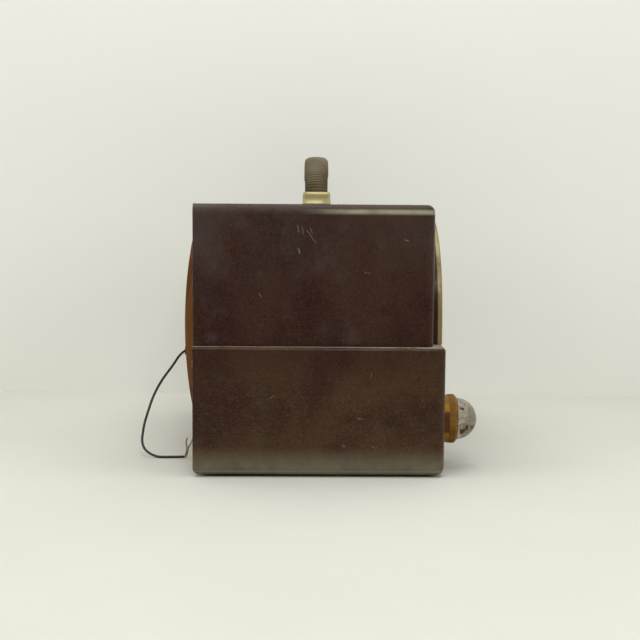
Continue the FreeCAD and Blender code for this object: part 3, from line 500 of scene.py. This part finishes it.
# Deep, warm and hazy colour of each moulding
UPPER_COLOURS = ((0.026, 0.0055, 0.0034), (0.038, 0.0145, 0.008), (0.066, 0.056, 0.052))
LOWER_COLOURS = ((0.03, 0.01, 0.0055), (0.056, 0.028, 0.012), (0.064, 0.047, 0.032))


def paint_all():
    upper = moulded("upper_moulding", *UPPER_COLOURS, UPPER_MARKS)
    lower = moulded("lower_moulding", *LOWER_COLOURS, LOWER_MARKS)
    steel = bare_metal("steel_plate", (0.55, 0.54, 0.5), (0.36, 0.33, 0.28), 0.35)
    brass = bare_metal("turned_brass", (0.6, 0.42, 0.16), (0.4, 0.27, 0.1), 0.3)
    aluminium = bare_metal("aluminium", (0.72, 0.72, 0.7), (0.55, 0.55, 0.53), 0.3)
    brown_plastic = matt("brown_plastic", (0.05, 0.028, 0.015), (0.07, 0.04, 0.02), 120, 0.5)
    rubber = matt("black_rubber", (0.012, 0.012, 0.012), (0.03, 0.03, 0.028), 300, 0.8)
    waxed = matt("waxed_paper", (0.22, 0.12, 0.045), (0.3, 0.18, 0.07), 60, 0.6)
    paint(upper, "upper_cabinet")
    paint(lower, "lower_cabinet")
    paint(pressed_board(), "rear_cover")
    paint(rubber, "feet", "lead_grommet")
    paint(aged_gilt("gilt_trim", (0.28, 0.225, 0.09), (0.19, 0.145, 0.058), 0.3), "dial_trim", "grille_ring")
    paint(clear_plastic("window_plastic", (0.95, 0.94, 0.9), (0.8, 0.78, 0.7), 0.03, 1.0), "dial_window")
    paint(matt("dial_print", (0.035, 0.02, 0.012), (0.05, 0.03, 0.018), 200, 0.55, 0.00005), "dial_plate")
    paint(woven_cloth(), "grille_cloth")
    paint(matt("raw_board", (0.22, 0.14, 0.07), (0.33, 0.23, 0.12), 80), "baffle_board")
    paint(matt("speaker_paper", (0.02, 0.018, 0.016), (0.04, 0.036, 0.03), 150), "speaker_cone")
    paint(matt("magnet_paint", (0.06, 0.06, 0.06), (0.09, 0.09, 0.085), 100, 0.5), "speaker_magnet")
    paint(vinyl_grip(), "handle_grip")
    paint(steel, "cabinet_screws", "rear_cover_screws", "baffle_screws", "handle_screws", "handle_strap",
          "speaker_basket", "lamp_holder", "chassis", "chassis_screws", "capacitor_frame",
          "handle_ferrule_left", "handle_ferrule_right")
    paint(bare_metal("turned_steel", (0.6, 0.6, 0.58), (0.45, 0.44, 0.42), 0.25),
          "volume_shaft", "tuning_spindle", "rotor_shaft")
    paint(brass, "tuning_bush")
    paint(aluminium, "volume_control", "if_can_first", "if_can_second", "smoothing_capacitor",
          "stator_vanes", "rotor_vanes")
    paint(brown_plastic, "valve_sockets", "mains_inlet", "dial_drum")
    paint(waxed, "output_coil", "loop_aerial")
    paint(matt("core_iron", (0.02, 0.019, 0.018), (0.035, 0.03, 0.026), 90, 0.6), "output_core")
    paint(matt("pointer_paint", (0.62, 0.55, 0.32), (0.55, 0.47, 0.26), 200, 0.5), "dial_pointer")
    paint(matt("cord_fibre", (0.2, 0.16, 0.09), (0.3, 0.25, 0.15), 600), "drive_cord")
    glass = valve_glass()
    for name in nodes:
        if name.startswith("valve_") and name != "valve_sockets":
            paint(glass, name)
    paint(glass, "dial_lamp")
    amber = knob_amber()
    yellow = cast_plastic("knob_yellow", (0.62, 0.4, 0.06), (0.5, 0.3, 0.04), 0.3, 0.35)
    hub = cast_plastic("knob_hub", (0.075, 0.04, 0.01), (0.05, 0.026, 0.008), 0.35)
    dome = knob_dome()
    for side in ("volume", "tuning"):
        paint(amber, side + "_skirt")
        paint(yellow, side + "_insert")
        paint(hub, side + "_hub")
        paint(dome, side + "_dome")


# ---------------------------------------------------------------- handle


def skin(name, rings, material, body, replaced):
    """A closed smooth surface through rings of points that all have the same count."""
    count = len(rings[0])
    points = [p for ring in rings for p in ring]
    faces = []
    for row in range(len(rings) - 1):
        for i in range(count):
            j = (i + 1) % count
            faces.append((row * count + i, row * count + j, (row + 1) * count + j, (row + 1) * count + i))
    faces.append(tuple(reversed(range(count))))
    faces.append(tuple(range(len(points) - count, len(points))))
    mesh = bpy.data.meshes.new(name)
    mesh.from_pydata(points, [], faces)
    mesh.materials.append(material)
    for face in mesh.polygons[:-2]:
        face.use_smooth = True
    obj = bpy.data.objects.new(name, mesh)
    bpy.context.scene.collection.objects.link(obj)
    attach(obj, body)
    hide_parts(replaced)
    return obj


def rounded_loop(half_width, half_depth, power, count):
    """Points of a rounded rectangle, as (across, out) pairs."""
    loop = []
    for step in range(count):
        turn = 2 * math.pi * step / count
        c, s = math.cos(turn), math.sin(turn)
        across = math.copysign(abs(c) ** (2 / power), c) * half_width
        out = math.copysign(abs(s) ** (2 / power), s) * half_depth
        loop.append((across, out))
    return loop


# The grip, and the ribs at its two ends
GRIP_THICK = 0.012
GRIP_BEND = 0.026
RIB_PITCH = 0.00194
RIB_ZONE = 0.0146
RIB_DEPTH = 0.0003
RIB_ARCH = 0.0011
PLAIN_STEP = 0.0016


def handle_frame(distance, span, base, top, y):
    """The place, outward direction and heading at a distance along the handle's middle line."""
    leg = top - GRIP_BEND - base
    arc = GRIP_BEND * math.pi / 2
    across = 2 * (span - GRIP_BEND)
    total = 2 * leg + 2 * arc + across
    if distance > total / 2:
        place, out, heading = handle_frame(total - distance, span, base, top, y)
        mirrored = Vector((-place.x, place.y, place.z))
        return mirrored, Vector((-out.x, 0, out.z)), Vector((heading.x, 0, -heading.z))
    if distance < leg:
        return Vector((-span, y, base + distance)), Vector((-1, 0, 0)), Vector((0, 0, 1))
    if distance < leg + arc:
        turn = (distance - leg) / GRIP_BEND
        out = Vector((-math.cos(turn), 0, math.sin(turn)))
        hub = Vector((GRIP_BEND - span, y, top - GRIP_BEND))
        return hub + out * GRIP_BEND, out, Vector((math.sin(turn), 0, math.cos(turn)))
    return Vector((GRIP_BEND - span + distance - leg - arc, y, top)), Vector((0, 0, 1)), Vector((1, 0, 0))


def make_grip():
    """The flexible grip: a soft rounded bar with fine arched ribs where it enters each ferrule."""
    low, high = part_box("handle_grip")
    span = high[0] - GRIP_THICK / 2
    base = low[2]
    top = high[2] - GRIP_THICK / 2
    y = (low[1] + high[1]) / 2
    half_width = (high[1] - low[1]) / 2
    total = 2 * (top - GRIP_BEND - base) + GRIP_BEND * math.pi + 2 * (span - GRIP_BEND)
    stops = []
    reach = 0.0
    while reach < total / 2:
        stops.append(reach)
        reach += RIB_PITCH / 10 if reach < RIB_ZONE + 0.001 else PLAIN_STEP
    stops += [total - s for s in reversed(stops)]
    rings = []
    for distance in stops:
        place, out, heading = handle_frame(distance, span, base, top, y)
        from_end = min(distance, total - distance)
        in_ribs = max(0.0, min(1.0, (RIB_ZONE - from_end) / 0.001))
        rib = in_ribs * RIB_DEPTH * (0.5 - 0.5 * math.cos(2 * math.pi * from_end / RIB_PITCH))
        neck = 0.0006 * max(0.0, min(1.0, (RIB_ZONE + 0.002 - from_end) / 0.004))
        lift = math.copysign(RIB_ARCH, total / 2 - distance) * max(0.0, min(1.0, from_end / 0.004))
        lift *= max(0.0, min(1.0, (RIB_ZONE + 0.008 - from_end) / 0.008))
        ring = []
        for across, outwards in rounded_loop(half_width - neck - rib, GRIP_THICK / 2 - rib, 2.7, 64):
            arched = lift * (1 - (across / half_width) ** 2)
            ring.append(place + Vector((0, across, 0)) + out * outwards + heading * arched)
        rings.append(ring)
    skin("grip_sleeve", rings, vinyl_grip(), "cabinet", "handle_grip")


# Height above the foot and half width, as shares of the ferrule's own height and half width
FERRULE_PROFILE = [
    (0.0, 0.985), (0.015, 1.0), (0.07, 1.0), (0.085, 0.988), (0.6, 0.972), (0.84, 0.962),
    (0.86, 0.958), (0.97, 0.915), (0.995, 0.9), (1.0, 0.88),
]


def make_ferrules():
    metal = aged_gilt("ferrule_metal", (0.46, 0.41, 0.19), (0.34, 0.28, 0.11), 0.35)
    for side in ("left", "right"):
        low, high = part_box("handle_ferrule_" + side)
        middle_x = (low[0] + high[0]) / 2
        middle_y = (low[1] + high[1]) / 2
        half = (high[0] - low[0]) / 2
        rings = []
        for share, wide in FERRULE_PROFILE:
            z = low[2] + share * (high[2] - low[2])
            loop = rounded_loop(half * wide, half * wide, 9, 72)
            rings.append([Vector((middle_x + out, middle_y + across, z)) for across, out in loop])
        skin("ferrule_shell_" + side, rings, metal, "cabinet", "handle_ferrule_" + side)


# ---------------------------------------------------------------- dial scale

SCALE_PIVOT_HEIGHT = 0.124
SCALE_RADIUS = 0.0895
SCALE_SWING = 78
TICK_SPACES = 40
TICKS_PER_NUMBER = 5
LONG_TICK = (0.0045, 0.0004)
SHORT_TICK = (0.0024, 0.00022)
SCALE_NUMBERS = ("55", "60", "70", "80", "90", "100", "120", "140", "160")


def make_dial_scale():
    """Ticks and plain numbers printed on the dial plate round the loudspeaker grille."""
    low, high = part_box("dial_plate")
    face = low[1] - 0.0002
    pivot = Vector((0, face, SCALE_PIVOT_HEIGHT))
    ink = matt("scale_ink", (0.6, 0.5, 0.24), (0.5, 0.4, 0.18), 300, 0.5, 0.00002)
    points = []
    faces = []
    for step in range(TICK_SPACES + 1):
        turn = math.radians(-SCALE_SWING + 2 * SCALE_SWING * step / TICK_SPACES)
        out = Vector((math.sin(turn), 0, math.cos(turn)))
        side = Vector((math.cos(turn), 0, -math.sin(turn)))
        length, half = LONG_TICK if step % TICKS_PER_NUMBER == 0 else SHORT_TICK
        near = pivot + out * (SCALE_RADIUS - 0.006)
        far = near + out * length
        first = len(points)
        points += [near - side * half, near + side * half, far + side * half, far - side * half]
        faces.append((first, first + 1, first + 2, first + 3))
    mesh = bpy.data.meshes.new("dial_ticks")
    mesh.from_pydata(points, [], faces)
    mesh.materials.append(ink)
    ticks = bpy.data.objects.new("dial_ticks", mesh)
    bpy.context.scene.collection.objects.link(ticks)
    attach(ticks, "cabinet")
    for number, text in enumerate(SCALE_NUMBERS):
        turn = math.radians(-SCALE_SWING + 2 * SCALE_SWING * number / (len(SCALE_NUMBERS) - 1))
        curve = bpy.data.curves.new("dial_number_" + text, "FONT")
        curve.body = text
        curve.size = 0.0085
        curve.align_x = "CENTER"
        curve.align_y = "CENTER"
        curve.extrude = 0.0001
        curve.materials.append(ink)
        obj = bpy.data.objects.new("dial_number_" + text, curve)
        out = Vector((math.sin(turn), 0, math.cos(turn)))
        obj.location = pivot + out * (SCALE_RADIUS + 0.0035)
        obj.rotation_euler = (math.pi / 2, turn, 0)
        bpy.context.scene.collection.objects.link(obj)
        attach(obj, "cabinet")


# ---------------------------------------------------------------- aerial lead

LEAD_ROUTE = [
    (-0.03, 0.1394, 0.096),
    (-0.0308, 0.1446, 0.0926),
    (-0.0338, 0.151, 0.0819),
    (-0.0395, 0.1606, 0.0696),
    (-0.0482, 0.1686, 0.0548),
    (-0.0587, 0.1734, 0.0384),
    (-0.0665, 0.1762, 0.027),
    (-0.0794, 0.1769, 0.0097),
    (-0.086, 0.1641, 0.0013),
    (-0.0866, 0.1495, 0.0013),
    (-0.085, 0.1354, 0.0013),
]
STRAND_ROUTES = [
    [(-0.085, 0.1354, 0.00195), (-0.085, 0.1343, 0.0021), (-0.085, 0.1334, 0.0059), (-0.0851, 0.1325, 0.011),
     (-0.0854, 0.1335, 0.0132), (-0.0855, 0.1335, 0.0166), (-0.0854, 0.1324, 0.0196)],
    [(-0.085, 0.1354, 0.00068), (-0.0849, 0.1337, 0.0007), (-0.0849, 0.1321, 0.0053),
     (-0.0849, 0.1312, 0.0108), (-0.0845, 0.1294, 0.0132), (-0.0843, 0.1282, 0.016),
     (-0.0842, 0.1276, 0.0182)],
]
LEAD_DIAMETER = 0.0024
STRAND_RADIUS = 0.00062


def strand_curve(name, route, radius, material):
    curve = bpy.data.curves.new(name, "CURVE")
    curve.dimensions = "3D"
    curve.bevel_depth = radius
    curve.bevel_resolution = 5
    curve.use_fill_caps = True
    spline = curve.splines.new("NURBS")
    spline.points.add(len(route) - 1)
    for point, place in zip(spline.points, route):
        point.co = (*place, 1)
    spline.order_u = 3
    spline.use_endpoint_u = True
    spline.resolution_u = 16
    obj = bpy.data.objects.new(name, curve)
    bpy.context.scene.collection.objects.link(obj)
    curve.materials.append(material)
    return obj


def make_lead():
    sheath = matt("lead_sheath", (0.012, 0.015, 0.011), (0.03, 0.033, 0.024), 500, 0.55)
    copper = bare_metal("strand_copper", (0.5, 0.36, 0.14), (0.25, 0.2, 0.08), 0.4)
    lead = strand_curve("aerial_lead_flex", LEAD_ROUTE, LEAD_DIAMETER / 2, sheath)
    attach(lead, "cabinet")
    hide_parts("aerial_lead")
    for number, route in enumerate(STRAND_ROUTES):
        strand = strand_curve("lead_strand_%d" % number, route, STRAND_RADIUS, copper)
        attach(strand, "cabinet")
    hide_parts("lead_strands")


# ---------------------------------------------------------------- stage, light and camera

# The wall stands right of the set; the room is dimmer behind the camera
WALL_X = 0.3
STAGE_REACH = 3
WALL_COLOUR = (0.885, 0.89, 0.845)
FLOOR_COLOUR = (0.62, 0.625, 0.575)
DIM_ROOM = 0.12
BRIGHT_ROOM = 0.5


def plain(name, colour, rough, grain=0.02):
    """Pale paper with a slight grain, seen from its front only."""
    g = Graph(name)
    cloud = g.ramp(g.noise(5, 3), 0.3, 0.7)
    tooth = g.ramp(g.noise(700, 3, 0.7), 0.3, 0.7)
    shade = tuple(c * (1 - grain) for c in colour)
    amount = g.math("MULTIPLY", g.math("ADD", cloud, tooth), 0.5)
    g.set(Base_Color=g.mix(amount, colour, shade), Roughness=rough, Specular_IOR_Level=0.1)
    behind = g.tree.nodes.new("ShaderNodeNewGeometry").outputs["Backfacing"]
    see_through = g.tree.nodes.new("ShaderNodeBsdfTransparent")
    either = g.tree.nodes.new("ShaderNodeMixShader")
    g.link(behind, either.inputs[0])
    g.link(g.shader.outputs[0], either.inputs[1])
    g.link(see_through.outputs[0], either.inputs[2])
    g.link(either.outputs[0], g.out.inputs["Surface"])
    return g.material


def sheet_of_paper(name, corners, material):
    mesh = bpy.data.meshes.new(name)
    mesh.from_pydata(corners, [], [(0, 1, 2, 3)])
    mesh.materials.append(material)
    obj = bpy.data.objects.new(name, mesh)
    bpy.context.scene.collection.objects.link(obj)


def make_stage():
    reach = STAGE_REACH
    floor = [(-reach, -reach, 0), (reach, -reach, 0), (reach, reach, 0), (-reach, reach, 0)]
    wall = [(WALL_X, -reach, 0), (WALL_X, reach, 0), (WALL_X, reach, reach), (WALL_X, -reach, reach)]
    sheet_of_paper("floor", floor, plain("floor_paper", FLOOR_COLOUR, 0.7, 0.06))
    sheet_of_paper("wall", wall[::-1], plain("wall_paper", WALL_COLOUR, 0.9))


def area_light(name, at, towards, size, power, colour=(1, 1, 1)):
    data = bpy.data.lights.new(name, "AREA")
    data.shape = "RECTANGLE"
    data.size, data.size_y = size
    data.energy = power
    data.color = colour
    obj = bpy.data.objects.new(name, data)
    obj.location = at
    obj.rotation_euler = (Vector(towards) - Vector(at)).to_track_quat("-Z", "Y").to_euler()
    bpy.context.scene.collection.objects.link(obj)


def make_light():
    """An overcast room that is dim behind the camera, a ceiling panel, and a small softbox for the edges."""
    world = bpy.data.worlds.new("room")
    world.use_nodes = True
    tree = world.node_tree
    background = tree.nodes["Background"]
    direction = tree.nodes.new("ShaderNodeTexCoord").outputs["Generated"]
    parts = tree.nodes.new("ShaderNodeSeparateXYZ")
    tree.links.new(direction, parts.inputs[0])
    dimmer = tree.nodes.new("ShaderNodeMapRange")
    for socket, number in zip(dimmer.inputs[1:5], (-0.9, -0.2, DIM_ROOM, BRIGHT_ROOM)):
        socket.default_value = number
    tree.links.new(parts.outputs[0], dimmer.inputs[0])
    background.inputs["Color"].default_value = (1, 0.985, 0.94, 1)
    tree.links.new(dimmer.outputs[0], background.inputs["Strength"])
    bpy.context.scene.world = world
    area_light("ceiling", (-0.1, 0.1, 1.7), (0, 0, 0), (1.6, 1.6), 23, (1, 0.99, 0.96))
    area_light("softbox", (-1.09, -0.14, 1.0), (-0.15, -0.05, 0.23), (0.3, 0.2), 3.4, (1, 0.99, 0.94))
    area_light("window", (-0.9, -1.5, 0.9), (0, 0, 0.1), (1.2, 1.0), 7, (1, 0.99, 0.97))
    area_light("far_window", (-0.9, 1.6, 1.0), (0, 0, 0.1), (1.2, 1.0), 8, (1, 0.99, 0.97))


def make_camera():
    forward = Vector((math.cos(CAMERA_PITCH) * math.cos(CAMERA_YAW),
                      -math.cos(CAMERA_PITCH) * math.sin(CAMERA_YAW),
                      -math.sin(CAMERA_PITCH)))
    right = forward.cross(Vector((0, 0, 1))).normalized()
    up = right.cross(forward)
    rolled_right = right * math.cos(CAMERA_ROLL) + up * math.sin(CAMERA_ROLL)
    rolled_up = up * math.cos(CAMERA_ROLL) - right * math.sin(CAMERA_ROLL)
    axes = Matrix((rolled_right, rolled_up, -forward)).transposed().to_4x4()
    data = bpy.data.cameras.new("camera")
    data.lens = CAMERA_LENS
    data.sensor_width = 36
    data.clip_end = 20
    camera = bpy.data.objects.new("camera", data)
    camera.matrix_world = Matrix.Translation(CAMERA_AT) @ axes
    bpy.context.scene.collection.objects.link(camera)
    bpy.context.scene.camera = camera


make_camera()
make_lead()
paint_all()
make_grip()
make_ferrules()
make_dial_scale()
make_stage()
make_light()
bpy.context.scene.view_settings.view_transform = "Standard"
